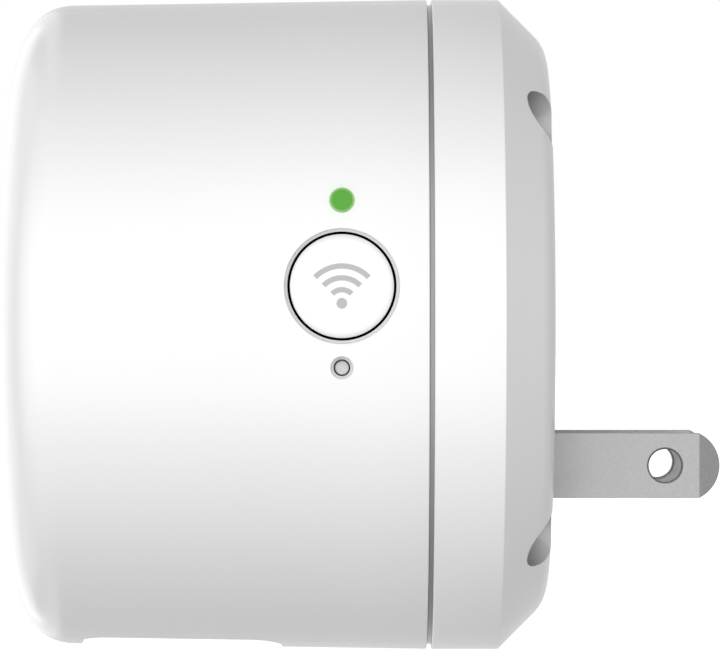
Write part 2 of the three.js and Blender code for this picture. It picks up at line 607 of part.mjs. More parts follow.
// From the front view to the part's frame: right becomes -Y, up becomes +Z, and the front becomes -X.
const toPartFrame = new THREE.Matrix4().makeBasis(
  new THREE.Vector3(0, -1, 0),
  new THREE.Vector3(0, 0, 1),
  new THREE.Vector3(-1, 0, 0),
);
extender.applyMatrix4(toPartFrame);

export default extender;
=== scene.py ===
"""The looks of the plug-in wifi range extender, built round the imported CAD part."""

import json
import math

import bmesh
import bpy
from mathutils import Matrix, Vector

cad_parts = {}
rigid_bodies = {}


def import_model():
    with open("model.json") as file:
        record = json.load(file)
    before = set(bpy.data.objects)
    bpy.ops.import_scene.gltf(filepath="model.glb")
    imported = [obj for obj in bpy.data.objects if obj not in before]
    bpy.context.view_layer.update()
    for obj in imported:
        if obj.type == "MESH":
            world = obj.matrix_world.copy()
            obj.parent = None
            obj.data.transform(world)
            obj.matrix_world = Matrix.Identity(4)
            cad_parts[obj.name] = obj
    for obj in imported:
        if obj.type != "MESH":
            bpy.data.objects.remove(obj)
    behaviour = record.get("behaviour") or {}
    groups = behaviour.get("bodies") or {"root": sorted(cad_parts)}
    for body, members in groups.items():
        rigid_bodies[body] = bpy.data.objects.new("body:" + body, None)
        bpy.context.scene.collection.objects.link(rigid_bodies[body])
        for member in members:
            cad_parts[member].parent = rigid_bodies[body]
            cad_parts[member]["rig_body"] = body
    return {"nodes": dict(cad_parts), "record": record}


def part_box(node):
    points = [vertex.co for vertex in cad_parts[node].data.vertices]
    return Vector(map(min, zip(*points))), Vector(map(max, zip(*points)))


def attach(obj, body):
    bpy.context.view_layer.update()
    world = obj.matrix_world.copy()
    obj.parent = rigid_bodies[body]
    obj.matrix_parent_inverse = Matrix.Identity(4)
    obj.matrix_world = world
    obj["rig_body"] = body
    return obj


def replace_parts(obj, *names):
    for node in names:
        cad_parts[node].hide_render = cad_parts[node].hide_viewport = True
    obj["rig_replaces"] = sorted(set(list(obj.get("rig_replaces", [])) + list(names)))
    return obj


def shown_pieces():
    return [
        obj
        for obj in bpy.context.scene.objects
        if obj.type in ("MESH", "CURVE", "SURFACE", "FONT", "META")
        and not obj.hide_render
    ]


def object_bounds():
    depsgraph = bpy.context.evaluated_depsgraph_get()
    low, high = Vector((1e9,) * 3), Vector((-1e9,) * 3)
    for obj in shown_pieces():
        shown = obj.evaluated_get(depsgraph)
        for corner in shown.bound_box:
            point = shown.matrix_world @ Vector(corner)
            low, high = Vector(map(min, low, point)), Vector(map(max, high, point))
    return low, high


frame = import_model()
cad_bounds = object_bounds()

MM = 0.001
SLOT_OF = {s["node"]: s["material_slot"] for s in frame["record"]["subparts"]}


# ---------- where the CAD parts are, in millimetres ----------
def span(node):
    low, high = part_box(node)
    return (low + high) / 2 / MM, (high - low) / MM


shell_low, shell_high = (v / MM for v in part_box("front_shell"))
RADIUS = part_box("rear_cover")[1].y / MM  # outside radius of the rear cover
FRONT = shell_low.x  # the crown of the front face
SHELL_EDGE = shell_high.x  # the shell's rear edge, on one side of the seam
SEAM_GAP = 0.46
COVER_EDGE = SHELL_EDGE + SEAM_GAP
TAPER = 0.0157  # radius lost for each millimetre towards the front
CORNER_START = -46.4  # where the soft front corner leaves the side
CORNER_WIDTH = 7.0
CORNER_POWER = 2.45  # the corner is a superellipse
CROWN = 0.8
CHAMFER = 4.8
FILLET = 4.2
FILLET_START = -FILLET * (1 - math.sqrt(0.5))  # where the fillet leaves the chamfer
WALL = 2.0
BORE = 2.8  # radius of the screw counterbores
FILLET_RADIUS = RADIUS - CHAMFER - FILLET * math.tan(math.pi / 8)  # radius of the fillet's centre line
PANEL_DEPTH = 0.8  # the vent panel underneath
ON_SURFACE = 0.012  # how near a point has to be to count as on a surface

# The controls: centres from the frame, radii of their holes, rims and caps, and planes across the Y axis.
PAIR, LED, RESET = (span(node)[0] for node in ("pair_button", "light_pipe", "reset_button"))
PAIR_CUT, PAIR_HOLE, PAIR_CAP = 5.35, 5.03, 4.83
LED_CUT, LED_HOLE, LED_LENS = 1.16, 1.11, 1.105
RESET_CUT, RESET_HOLE, RESET_PIN = 1.05, 0.77, 0.66
COLLAR_FACE = -27.9
FLANGE_OUTER, FLANGE_INNER, STEM_END = -27.85, -27.05, -25.6
AXIS = 0.0005  # radius of the tiny ring that closes a cap

COVER_SCREWS = [span(f"cover_screw_{i}")[0] for i in range(1, 5)]
BOARD_SCREWS = [span(f"main_board_screw_{i}")[0] for i in range(1, 4)]


# ---------- mesh tools ----------
def new_object(name, mesh):
    obj = bpy.data.objects.new(name, mesh)
    bpy.context.scene.collection.objects.link(obj)
    return obj


def mesh_object(name, points, faces):
    """A mesh from points in millimetres, with its faces turned outwards."""
    mesh = bpy.data.meshes.new(name)
    mesh.from_pydata([Vector(p) * MM for p in points], [], faces)
    bm = bmesh.new()
    bm.from_mesh(mesh)
    bmesh.ops.remove_doubles(bm, verts=bm.verts, dist=1e-7)
    bmesh.ops.recalc_face_normals(bm, faces=bm.faces)
    bm.to_mesh(mesh)
    bm.free()
    return new_object(name, mesh)


def smooth(obj, angle=32):
    obj.data.shade_smooth()
    obj.data.set_sharp_from_angle(angle=math.radians(angle))
    return obj


def lathe(name, profile, segments, centre=(0, 0), closed=False):
    """A profile of (x, radius) points turned about an axis along X through centre (y, z)."""
    points, rings = [], []
    for x, r in profile:
        if r < 1e-6:
            rings.append([len(points)] * segments)
            points.append((x, *centre))
            continue
        rings.append([len(points) + i for i in range(segments)])
        for i in range(segments):
            a = 2 * math.pi * i / segments
            points.append((x, centre[0] + r * math.cos(a), centre[1] + r * math.sin(a)))
    faces = []
    pairs = list(zip(rings, rings[1:] + rings[:1] if closed else rings[1:]))
    for first, second in pairs:
        for i in range(segments):
            j = (i + 1) % segments
            face = []
            for v in (first[i], second[i], second[j], first[j]):
                if v not in face:
                    face.append(v)
            if len(face) > 2:
                faces.append(face)
    return mesh_object(name, points, faces)


def prism(name, outline, low, high, axis="Z"):
    """A closed outline of (u, v) points extruded from low to high. Z: (x, y); Y: (x, z); X: (y, z)."""
    place = {
        "X": lambda u, v, w: (w, u, v),
        "Y": lambda u, v, w: (u, w, v),
        "Z": lambda u, v, w: (u, v, w),
    }[axis]
    n = len(outline)
    points = [place(u, v, w) for w in (low, high) for u, v in outline]
    faces = [list(range(n)), list(range(n, 2 * n))]
    faces += [[i, (i + 1) % n, n + (i + 1) % n, n + i] for i in range(n)]
    return mesh_object(name, points, faces)


def rounded_rect(cx, cy, width, height, radius, steps=8):
    points = []
    for corner in range(4):
        sx = 1 if corner in (0, 3) else -1
        sy = 1 if corner < 2 else -1
        x, y = cx + sx * (width / 2 - radius), cy + sy * (height / 2 - radius)
        for i in range(steps + 1):
            a = math.pi / 2 * (corner + i / steps)
            points.append((x + radius * math.cos(a), y + radius * math.sin(a)))
    return points


def arc(cx, cy, radius, start, end, steps):
    """Points on an arc, with its angles in degrees."""
    angles = [math.radians(start + (end - start) * i / steps) for i in range(steps + 1)]
    return [(cx + radius * math.cos(a), cy + radius * math.sin(a)) for a in angles]


def boolean(obj, *cutters, operation="DIFFERENCE"):
    for cutter in cutters:
        mod = obj.modifiers.new("cut", "BOOLEAN")
        mod.object, mod.operation, mod.solver = cutter, operation, "EXACT"
    bpy.context.view_layer.update()
    depsgraph = bpy.context.evaluated_depsgraph_get()
    made = bpy.data.meshes.new_from_object(obj.evaluated_get(depsgraph))
    obj.modifiers.clear()
    obj.data = made
    for cutter in cutters:
        bpy.data.objects.remove(cutter)
    return obj


def join(target, *others):
    """Adds other objects to the target. The join operator keeps their own normals."""
    bpy.ops.object.select_all(action="DESELECT")
    for obj in (target, *others):
        obj.select_set(True)
    bpy.context.view_layer.objects.active = target
    bpy.ops.object.join()
    return target


def bevel(obj, width, segments, angle):
    mod = obj.modifiers.new("soft edges", "BEVEL")
    mod.width, mod.segments = width * MM, segments
    mod.limit_method, mod.angle_limit = "ANGLE", math.radians(angle)
    mod.harden_normals = True
    return obj


def finish_piece(obj, body, slot, paint, *nodes):
    obj.data.materials.clear()
    obj.data.materials.append(paint)
    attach(obj, body)
    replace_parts(obj, *nodes)
    return obj


# ---------- body surfaces ----------
def side_radius(x):
    return RADIUS - TAPER * max(0.0, SHELL_EDGE + SEAM_GAP / 2 - x)


CORNER_RADIUS = side_radius(CORNER_START) - CORNER_WIDTH


def dome_x(r):
    return FRONT + CROWN * (r / CORNER_RADIUS) ** 2


def skin_y(x, z):
    """The body's surface on the control side."""
    return -math.sqrt(side_radius(x) ** 2 - z * z)


def shell_profile(offset, steps):
    """The front shell's side, corner and front, moved inwards by offset, from the rear edge to the axis."""
    reach = CORNER_WIDTH - offset
    depth = CORNER_START - dome_x(side_radius(CORNER_START)) - offset / 2
    profile = [(CORNER_START * i / 6 + SHELL_EDGE * (1 - i / 6), 0) for i in range(7)]
    profile = [(x, side_radius(x) - offset) for x, _ in profile]
    for i in range(1, steps + 1):
        t = math.pi / 2 * i / steps
        r = CORNER_RADIUS + reach * max(0.0, math.cos(t)) ** (2 / CORNER_POWER)
        profile.append((dome_x(r) + offset + depth * (1 - math.sin(t) ** (2 / CORNER_POWER)), r))
    profile += [(dome_x(CORNER_RADIUS * k / 10) + offset, CORNER_RADIUS * k / 10) for k in range(9, -1, -1)]
    return profile


def skin_normal(x, r):
    """The true normal (along X, outwards) of the smooth body surface at a point, or nothing off it."""
    if CORNER_START < x < SHELL_EDGE - 0.3:
        for offset in (0, PANEL_DEPTH):
            if abs(r - side_radius(x) + offset) < ON_SURFACE:
                return Vector((-TAPER, 1)).normalized()
    if x > COVER_EDGE + 0.3:
        if abs(r - RADIUS) < ON_SURFACE and x < -CHAMFER - 0.2:
            return Vector((0, 1))
        if abs(r + x + CHAMFER - RADIUS) < ON_SURFACE and x < FILLET_START:
            return Vector((1, 1)).normalized()
        from_fillet = Vector((x + FILLET, r - FILLET_RADIUS))
        if abs(from_fillet.length - FILLET) < ON_SURFACE and x > FILLET_START and r > FILLET_RADIUS:
            return from_fillet.normalized()
    return None


def true_normals(obj):
    """Gives cut surfaces their smooth normals back, so that highlights run past the holes unbroken."""
    smooth(obj)
    mesh = obj.data
    normals = [Vector((0, 0, 0))] * len(mesh.loops)
    for face in mesh.polygons:
        for loop in face.loop_indices:
            p = mesh.vertices[mesh.loops[loop].vertex_index].co / MM
            r = math.hypot(p.y, p.z)
            found = skin_normal(p.x, r)
            if found is None or r < 1:
                continue
            n = Vector((found.x, found.y * p.y / r, found.y * p.z / r))
            if n.dot(face.normal) > 0.95:
                normals[loop] = n
    mesh.normals_split_custom_set(normals)
    return obj


def skin_patch(name, centre, rings, segments=96):
    """Rings round a control's centre. Each is (radius, depth below the skin) or (radius, None, y)."""
    points, faces = [], []
    for ring in rings:
        for i in range(segments):
            a = 2 * math.pi * i / segments
            x, z = centre.x + ring[0] * math.cos(a), centre.z + ring[0] * math.sin(a)
            points.append((x, ring[2] if ring[1] is None else skin_y(x, z) + ring[1], z))
    for k in range(len(rings) - 1):
        for i in range(segments):
            j = (i + 1) % segments
            a, b = k * segments, (k + 1) * segments
            faces.append((a + i, a + j, b + j, b + i))
    mesh = bpy.data.meshes.new(name)
    mesh.from_pydata([Vector(p) * MM for p in points], [], faces)
    bm = bmesh.new()
    bm.from_mesh(mesh)
    bmesh.ops.remove_doubles(bm, verts=bm.verts, dist=1e-6)
    bm.normal_update()
    bm.to_mesh(mesh)
    bm.free()
    return new_object(name, mesh)


def soft_cap(radius, edge, drop, depth, steps=6, across=8):
    """Rings of a cap that follows the skin, rounded over the width of its edge by the height of its drop."""
    rings = [(radius * 0.0001 + (radius - edge) * i / across, depth) for i in range(across + 1)]
    for i in range(1, steps + 1):
        t = math.pi / 2 * i / steps
        rings.append((radius - edge + edge * math.sin(t), depth + drop * (1 - math.cos(t))))
    return rings


def y_cylinder(name, centre, radius, low, high, segments=96):
    outline = arc(centre.x, centre.z, radius, 0, 360 - 360 / segments, segments - 1)
    return prism(name, outline, low, high, "Y")


# ---------- materials ----------
class Paint:
    """A node material with short helpers for its maths."""

    def __init__(self, name, roughness, metallic=0.0):
        self.material = bpy.data.materials.new(name)
        self.material.use_nodes = True
        self.tree = self.material.node_tree
        self.bsdf = self.tree.nodes["Principled BSDF"]
        self.set(Roughness=roughness, Metallic=metallic)
        self.place = self.add("ShaderNodeTexCoord").outputs["Object"]

    def add(self, kind, **settings):
        node = self.tree.nodes.new(kind)
        for key, value in settings.items():
            setattr(node, key, value)
        return node

    def put(self, socket, value):
        if isinstance(value, bpy.types.NodeSocket):
            self.tree.links.new(value, socket)
        else:
            socket.default_value = value

    def set(self, **inputs):
        for key, value in inputs.items():
            self.put(self.bsdf.inputs[key.replace("_", " ")], value)

    def math(self, operation, *values):
        node = self.add("ShaderNodeMath", operation=operation)
        for socket, value in zip(node.inputs, values):
            self.put(socket, value)
        return node.outputs[0]

    def noise(self, scale, detail=3.0, stretch=(1, 1, 1)):
        mapping = self.add("ShaderNodeMapping")
        self.put(mapping.inputs["Vector"], self.place)
        mapping.inputs["Scale"].default_value = stretch
        node = self.add("ShaderNodeTexNoise")
        self.put(node.inputs["Vector"], mapping.outputs[0])
        node.inputs["Scale"].default_value = scale
        node.inputs["Detail"].default_value = detail
        return node.outputs["Fac"]

    def ramp(self, value, low, high, out_low=0.0, out_high=1.0):
        node = self.add("ShaderNodeMapRange", interpolation_type="SMOOTHSTEP")
        names = ("Value", "From Min", "From Max", "To Min", "To Max")
        for key, item in zip(names, (value, low, high, out_low, out_high)):
            self.put(node.inputs[key], item)
        return node.outputs["Result"]

    def mix(self, share, first, second):
        node = self.add("ShaderNodeMix", data_type="RGBA")
        self.put(node.inputs["Factor"], share)
        colours = [s for s in node.inputs if s.type == "RGBA"]
        for socket, value in zip(colours, (first, second)):
            self.put(socket, value if isinstance(value, bpy.types.NodeSocket) else (*value[:3], 1))
        return [s for s in node.outputs if s.type == "RGBA"][0]

    def relief(self, height, strength, distance, edge):
        """A bump of the given height on top of edges rounded by a small radius, in millimetres."""
        node = self.add("ShaderNodeBump")
        node.inputs["Strength"].default_value = strength
        node.inputs["Distance"].default_value = distance * MM
        self.put(node.inputs["Height"], height)
        rounding = self.add("ShaderNodeBevel", samples=6)
        rounding.inputs["Radius"].default_value = edge * MM
        self.put(node.inputs["Normal"], rounding.outputs[0])
        self.put(self.bsdf.inputs["Normal"], node.outputs[0])

    def axis(self, name):
        node = self.add("ShaderNodeSeparateXYZ")
        self.put(node.inputs[0], self.place)
        return node.outputs[name]

    def distance_from(self, centre, axes="XZ"):
        """Distance from a centre in the plane of two axes, in millimetres, with the two offsets."""
        places = [self.math("DIVIDE", self.axis(name), MM) for name in axes]
        u, v = (self.math("SUBTRACT", place, middle) for place, middle in zip(places, centre))
        squares = self.math("ADD", self.math("MULTIPLY", u, u), self.math("MULTIPLY", v, v))
        return self.math("SQRT", squares), u, v

    def both(self, first, second):
        return self.math("MULTIPLY", first, second)


def grained(name, colour, roughness, metallic=0.0, scale=900, contrast=0.06, bump=0.15, stretch=(1, 1, 1)):
    """A plain finish with a fine grain in its colour, roughness and surface."""
    paint = Paint(name, roughness, metallic)
    grain = paint.noise(scale, stretch=stretch)
    dark = [c * (1 - contrast) for c in colour]
    light = [min(1.0, c * (1 + contrast)) for c in colour]
    paint.set(Base_Color=paint.mix(grain, dark, light))
    paint.set(Roughness=paint.ramp(grain, 0.3, 0.7, roughness - 0.04, roughness + 0.04))
    paint.relief(grain, bump, 0.02, 0.1)
    return paint.material


def shade_controls(paint, colour):
    """A painted green glow round the status lens, and painted shade on the other controls' rims and in their
    gaps.
    """
    control_side = paint.ramp(paint.axis("Y"), -25 * MM, -24 * MM, 1.0, 0.0)
    d, _, _ = paint.distance_from((LED.x, LED.z))
    # Painted light: a green glow from the status lens, mixed into the shell's colour.
    painted_glow = paint.math("MAXIMUM", paint.ramp(d, 1.1, 1.9, 0.16, 0.0), paint.ramp(d, 1.13, 1.25, 0.6, 0.0))
    colour = paint.mix(paint.both(control_side, painted_glow), colour, (0.35, 0.85, 0.25))
    gap = 0.0
    for centre, hole, rim, depth in ((PAIR, PAIR_HOLE, 5.31, 1.0), (RESET, RESET_HOLE, 1.02, 0.15)):
        d, _, _ = paint.distance_from((centre.x, centre.z))
        # Painted shade: a dark line along the outer edge of each bevelled rim.
        rim_shade = paint.both(control_side, paint.ramp(d, rim - 0.02, rim, 0.12, 0.0))
        colour = paint.mix(rim_shade, colour, PAINTED_SHADE_BLACK)
        # Painted shade: the wall of each hole is painted near black.
        wall = paint.both(control_side, paint.ramp(d, hole + 0.005, hole + 0.03, depth, 0.0))
        gap = paint.math("MAXIMUM", gap, wall)
    return colour, gap


def shade_mark(paint, colour):
    """The printed mark on the pair button, and painted shade on the wall of its cap."""
    colour = paint.mix(signal_mark(paint), colour, (0.42, 0.42, 0.42))
    d, _, _ = paint.distance_from((PAIR.x, PAIR.z))
    # Painted shade: the wall of the cap, painted near black through the gap mask.
    return colour, paint.ramp(d, PAIR_CAP - 0.025, PAIR_CAP - 0.005)


def shade_seam(paint, colour):
    """Painted grey shade on the edges of the shadow gap between the shell and the cover."""
    r, _, _ = paint.distance_from((0, 0), "YZ")
    x = paint.math("DIVIDE", paint.axis("X"), MM)
    off = paint.math("ABSOLUTE", paint.math("SUBTRACT", x, (SHELL_EDGE + COVER_EDGE) / 2))
    near = paint.ramp(off, SEAM_GAP / 2 + 0.02, SEAM_GAP / 2 + 0.06, 1.0, 0.0)
    seam = paint.both(near, paint.ramp(r, RADIUS - 0.3, RADIUS - 0.1, 1.0, 0.0))
    # Painted shade: the seam's edges are mixed towards grey.
    return paint.mix(seam, colour, (0.38, 0.38, 0.38))


def shade_bore(paint, colour, centre):
    """Painted shade in a counterbore, darker with depth."""
    d, _, _ = paint.distance_from(centre, "YZ")
    wall = paint.ramp(d, BORE + 0.01, BORE + 0.06, 1.0, 0.0)
    deep = paint.ramp(paint.axis("X"), -5 * MM, 0.0, 0.72, 0.35)
    # Painted shade: the bore wall is mixed towards near black, more deeply inside.
    return paint.mix(paint.both(wall, deep), colour, (0.02, 0.02, 0.02))


def white_plastic(name, controls=False, mark=False, bores=()):
    """Glossy white plastic with a faint cloud and a fine grain, with painted shade in its gaps, seam and
    bores, and on the shell a painted green glow round the status lens.
    """
    paint = Paint(name, 0.3)
    grain = paint.noise(3200, 3)
    cloud = paint.noise(60, 2)
    colour, gap = paint.mix(cloud, WHITE_LOW, WHITE_HIGH), 0.0
    if controls:
        colour, gap = shade_controls(paint, colour)
    if mark:
        colour, gap = shade_mark(paint, colour)
    else:
        colour = shade_seam(paint, colour)
    for centre in bores:
        colour = shade_bore(paint, colour, centre)
    # Painted shade in the gaps: near black there, with the shine and coat taken away.
    shine = paint.math("SUBTRACT", 1.0, gap)
    paint.set(Base_Color=paint.mix(gap, colour, PAINTED_SHADE_BLACK), Specular_IOR_Level=paint.both(shine, 0.5))
    paint.set(Roughness=paint.ramp(grain, 0.3, 0.7, 0.30, 0.33))
    paint.set(Coat_Weight=paint.both(shine, 0.7), Coat_Roughness=0.05)
    paint.relief(grain, 0.02, 0.004, 0.1)
    return paint.material


def signal_mark(paint):
    """A plain fan of three arcs over a dot, printed on the pair button."""
    foot = (PAIR.x, PAIR.z - 1.6)
    d, u, v = paint.distance_from(foot)
    inside = paint.math("SUBTRACT", paint.math("MULTIPLY", d, 0.72), paint.math("ABSOLUTE", u))
    fan = paint.math("MULTIPLY", paint.ramp(inside, -0.03, 0.03), paint.ramp(v, -0.03, 0.03))
    arcs = 0.0
    for radius in (1.25, 2.35, 3.45):
        off = paint.math("ABSOLUTE", paint.math("SUBTRACT", d, radius))
        arcs = paint.math("MAXIMUM", arcs, paint.ramp(off, 0.22, 0.28, 1.0, 0.0))
    dot = paint.ramp(d, 0.47, 0.53, 1.0, 0.0)
    return paint.math("MAXIMUM", paint.math("MULTIPLY", fan, arcs), dot)


WHITE_LOW, WHITE_HIGH = (0.845, 0.845, 0.845), (0.865, 0.865, 0.865)
# The near black of the painted shade on the control rims and in the gaps.
PAINTED_SHADE_BLACK = (0.004, 0.004, 0.004)
shell_paint = white_plastic("white plastic, shell", controls=True)
cover_paint = white_plastic("white plastic, cover", bores=[(c.y, c.z) for c in COVER_SCREWS])
button_paint = white_plastic("white plastic, pair button", mark=True)


def lens_paint():
    """A frosted green lens, paler where it meets the case."""
    paint = Paint("status lens", 0.3)
    d, _, _ = paint.distance_from((LED.x, LED.z))
    rim = paint.ramp(d, 0.92, 1.1)
    swirl = paint.noise(500, 2)
    body = paint.mix(swirl, (0.038, 0.24, 0.003), (0.048, 0.26, 0.005))
    paint.set(Base_Color=paint.mix(rim, body, (0.30, 0.46, 0.24)))
    paint.set(Emission_Color=(0.14, 0.46, 0.06, 1), Emission_Strength=0.25)
    paint.relief(swirl, 0.02, 0.01, 0.05)
    return paint.material


TIP_LENGTH = 2.0  # the coined end of a blade


def blade_paint():
    """Nickel plate with a fine speckle, with painted shade near the case and on the coined tip."""
    paint = Paint("nickel plated blade", 0.38, 0.85)
    speckle = paint.math("ADD", paint.both(paint.noise(1500, 4), 0.3), paint.both(paint.noise(5200, 2), 0.7))
    x = paint.axis("X")
    tip_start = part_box("blade_left")[1].x - TIP_LENGTH * MM
    # Painted shade: the blade is darker near the case and on the coined tip.
    near_case = paint.ramp(x, 0.0, 5 * MM, 0.87, 1.0)
    tip = paint.ramp(x, tip_start - 0.03 * MM, tip_start + 0.03 * MM, 1.0, 0.60)
    shade = paint.both(near_case, tip)
    metal = paint.mix(paint.ramp(speckle, 0.35, 0.65), (0.323, 0.323, 0.323), (0.383, 0.383, 0.383))
    paint.set(Base_Color=paint.mix(shade, (0, 0, 0), metal))
    paint.set(Roughness=paint.ramp(speckle, 0.35, 0.65, 0.34, 0.44))
    paint.relief(speckle, 0.12, 0.012, 0.1)
    return paint.material


def board_paint():
    """Green solder mask with a faint pattern of tracks and tinned pads."""
    paint = Paint("circuit board", 0.35)
    cells = paint.add("ShaderNodeTexVoronoi", feature="DISTANCE_TO_EDGE")
    cells.inputs["Scale"].default_value = 420
    paint.put(cells.inputs["Vector"], paint.place)
    track = paint.ramp(cells.outputs["Distance"], 0.02, 0.05, 1.0, 0.0)
    pads = paint.add("ShaderNodeTexVoronoi")
    pads.inputs["Scale"].default_value = 260
    paint.put(pads.inputs["Vector"], paint.place)
    pad = paint.ramp(pads.outputs["Distance"], 0.10, 0.13, 1.0, 0.0)
    mask = paint.mix(track, (0.012, 0.12, 0.035), (0.03, 0.22, 0.07))
    paint.set(Base_Color=paint.mix(pad, mask, (0.6, 0.6, 0.58)), Metallic=paint.math("MULTIPLY", pad, 0.9))
    paint.relief(paint.math("ADD", track, pad), 0.3, 0.03, 0.05)
    return paint.material


def winding_paint():
    paint = Paint("winding tape", 0.45)
    turns = paint.add("ShaderNodeTexWave", bands_direction="X")
    turns.inputs["Scale"].default_value = 600
    paint.put(turns.inputs["Vector"], paint.place)
    paint.set(Base_Color=paint.mix(turns.outputs["Fac"], (0.62, 0.40, 0.03), (0.78, 0.55, 0.07)))
    paint.relief(turns.outputs["Fac"], 0.3, 0.04, 0.1)
    return paint.material


PAINTS = {
    "white_plastic": cover_paint,
    "matt_white_plastic": grained("matt white plastic", (0.74, 0.74, 0.71), 0.6),
    "grey_pin_plastic": grained(
        "grey speckled pin", (0.56, 0.56, 0.56), 0.55, scale=6000, contrast=0.35, bump=0.3,
    ),
    "green_lens": lens_paint(),
    "nickel": blade_paint(),
    "screw_steel": grained("zinc plated steel", (0.42, 0.43, 0.45), 0.3, 0.95, 1400, 0.1, stretch=(1, 4, 4)),
    "circuit_board": board_paint(),
    "black_plastic": grained(
        "black moulding", (0.012, 0.012, 0.013), 0.5, scale=2500, contrast=0.3, bump=0.3,
    ),
    "capacitor_sleeve": grained("capacitor sleeve", (0.015, 0.018, 0.03), 0.3, scale=500, contrast=0.2),
    "ferrite": grained("sintered ferrite", (0.04, 0.04, 0.042), 0.7, scale=3000, contrast=0.4, bump=0.5),
    "winding_tape": winding_paint(),
    "blue_coating": grained("dipped blue coating", (0.02, 0.10, 0.36), 0.3, scale=700, contrast=0.15),
    "aluminium": grained(
        "extruded aluminium", (0.60, 0.61, 0.63), 0.35, 0.95, 900, 0.1, stretch=(9, 1, 9),
    ),
    "label_stock": grained("blank label", (0.66, 0.66, 0.65), 0.5, scale=2500, contrast=0.05),
    "thermal_rubber": grained("thermal pad", (0.25, 0.34, 0.45), 0.85, scale=1500, contrast=0.2, bump=0.4),
    "insulating_film": grained("insulating film", (0.72, 0.68, 0.52), 0.45, scale=400, contrast=0.08),
}


# ---------- enclosure ----------
def tube(name, centre, outer, inner, low, high, segments=40):
    """A tube along X at centre (y, z), for screw bosses and posts."""
    profile = [(low, outer), (high, outer), (high, inner), (low, inner)]
    return lathe(name, profile, segments, centre, closed=True)


def vent_cutters():
    """The shallow panel underneath and its five cooling slots."""
    length, width, middle, pitch = 20, 17, -36.1, 3.4
    below, inside = -40, -20
    panel = prism("panel", rounded_rect(middle, 0, length, width, 3, 10), below, inside)
    skin = [(x, side_radius(x) - PANEL_DEPTH) for x in (0, -12, -48)]
    boolean(panel, lathe("core", [(0, 0), *skin, (-48, 0)], 192))
    slots = []
    for k in range(-2, 3):
        slots.append(prism("slot", rounded_rect(middle + k * pitch, 0, 1.4, 11, 0.69, 8), below, inside))
    return [panel, *slots]


def build_front_shell():
    edge, rear_radius = 0.14, side_radius(SHELL_EDGE)
    outer = shell_profile(0, 30)
    outer[0] = (SHELL_EDGE - edge, rear_radius)
    turns = (0.4, 0.8, 1.2, math.pi / 2)
    lip = [(SHELL_EDGE - edge * (1 - math.sin(a)), rear_radius - edge * (1 - math.cos(a))) for a in turns]
    inner = shell_profile(WALL, 14)[::-1]
    shell = lathe("front_shell_body", lip[::-1] + outer + inner, 256, closed=True)
    holes = [
        y_cylinder("hole", PAIR, PAIR_CUT, -40, -28.4),
        y_cylinder("hole", LED, LED_CUT, -40, -28.4, 48),
        y_cylinder("hole", RESET, RESET_CUT, -40, -28.4, 48),
    ]
    boolean(shell, *holes, *vent_cutters())
    return true_normals(shell)


def control_surrounds():
    """The bevelled rings round the controls and the guide collars behind them."""
    pair = skin_patch("ring", PAIR, [
        (PAIR_CUT, 0), (5.325, 0.01), (5.31, 0.04), (5.295, 0.14), (5.27, 0.18),
        (5.07, 0.33), (5.045, 0.37), (PAIR_HOLE, 0.43),
        (PAIR_HOLE, None, COLLAR_FACE), (6.8, None, COLLAR_FACE), (6.8, None, -30.0),
    ])
    led = skin_patch("ring", LED, [
        (LED_CUT, 0), (1.13, 0.01), (1.115, 0.04), (LED_HOLE, 0.1),
        (LED_HOLE, None, -26.4), (2.0, None, -26.4), (2.0, None, -28.6),
    ], 48)
    reset = skin_patch("ring", RESET, [
        (RESET_CUT, 0), (1.025, 0.01), (1.01, 0.04), (0.99, 0.12),
        (0.81, 0.38), (0.78, 0.44), (RESET_HOLE, 0.50),
        (RESET_HOLE, None, COLLAR_FACE), (2.2, None, COLLAR_FACE), (2.2, None, -30.0),
    ], 48)
    for ring in (pair, led, reset):
        for face in ring.data.polygons:
            face.flip()
        smooth(ring, 50)
    return pair, led, reset


def shell_bosses():
    """Bosses for the cover screws, and posts for the main board's screws."""
    made = [tube("boss", (c.y, c.z), 3.4, 1.25, -24, -12.6) for c in COVER_SCREWS]
    made += [tube("boss", (c.y, c.z), 2.4, 0.85, -50.5, -23.45) for c in BOARD_SCREWS]
    return [smooth(m) for m in made]


front_shell = build_front_shell()
join(front_shell, *control_surrounds(), *shell_bosses())
finish_piece(front_shell, "housing", "white_plastic", shell_paint, "front_shell")


def cover_body():
    """The cap with its chamfer, the fillet into the rear face and the spigot inside the shell."""
    soft, edge = 0.16, 0.14
    tangent = soft * math.tan(math.pi / 8)
    lip_radius, step = RADIUS - 0.5, SHELL_EDGE + 0.03
    outside = [(0, 0), (0, 8), (0, 16), (0, 22)]
    outside += arc(-FILLET, FILLET_RADIUS, FILLET, 0, 45, 12)
    outside += arc(-CHAMFER - tangent, RADIUS - soft, soft, 45, 90, 4)
    for a in (0, 0.5, 1.0, math.pi / 2):
        outside.append((COVER_EDGE + edge * (1 - math.sin(a)), RADIUS - edge * (1 - math.cos(a))))
    outside += [(COVER_EDGE, lip_radius), (step, lip_radius), (step, 30.1), (-15, 30.1)]
    inside = [(-15, 28.9), (-6, 28.9), (-2.2, 25.1), (-2.2, 0)]
    return lathe("rear_cover_body", outside + inside, 256)


def screw_post(place):
    """The post round a counterbore, trimmed to stay inside the cover's skin."""
    post = lathe("post", [(-0.5, 0), (-0.5, 4.3), (-12.5, 4.3), (-12.5, 0)], 48, place)
    skin = [(-0.6, 26), (-4.9, 30), (-11.8, 31), (-11.9, 30), (-15, 30)]
    return boolean(post, lathe("envelope", [(-0.6, 0), *skin, (-15, 0)], 128), operation="INTERSECT")


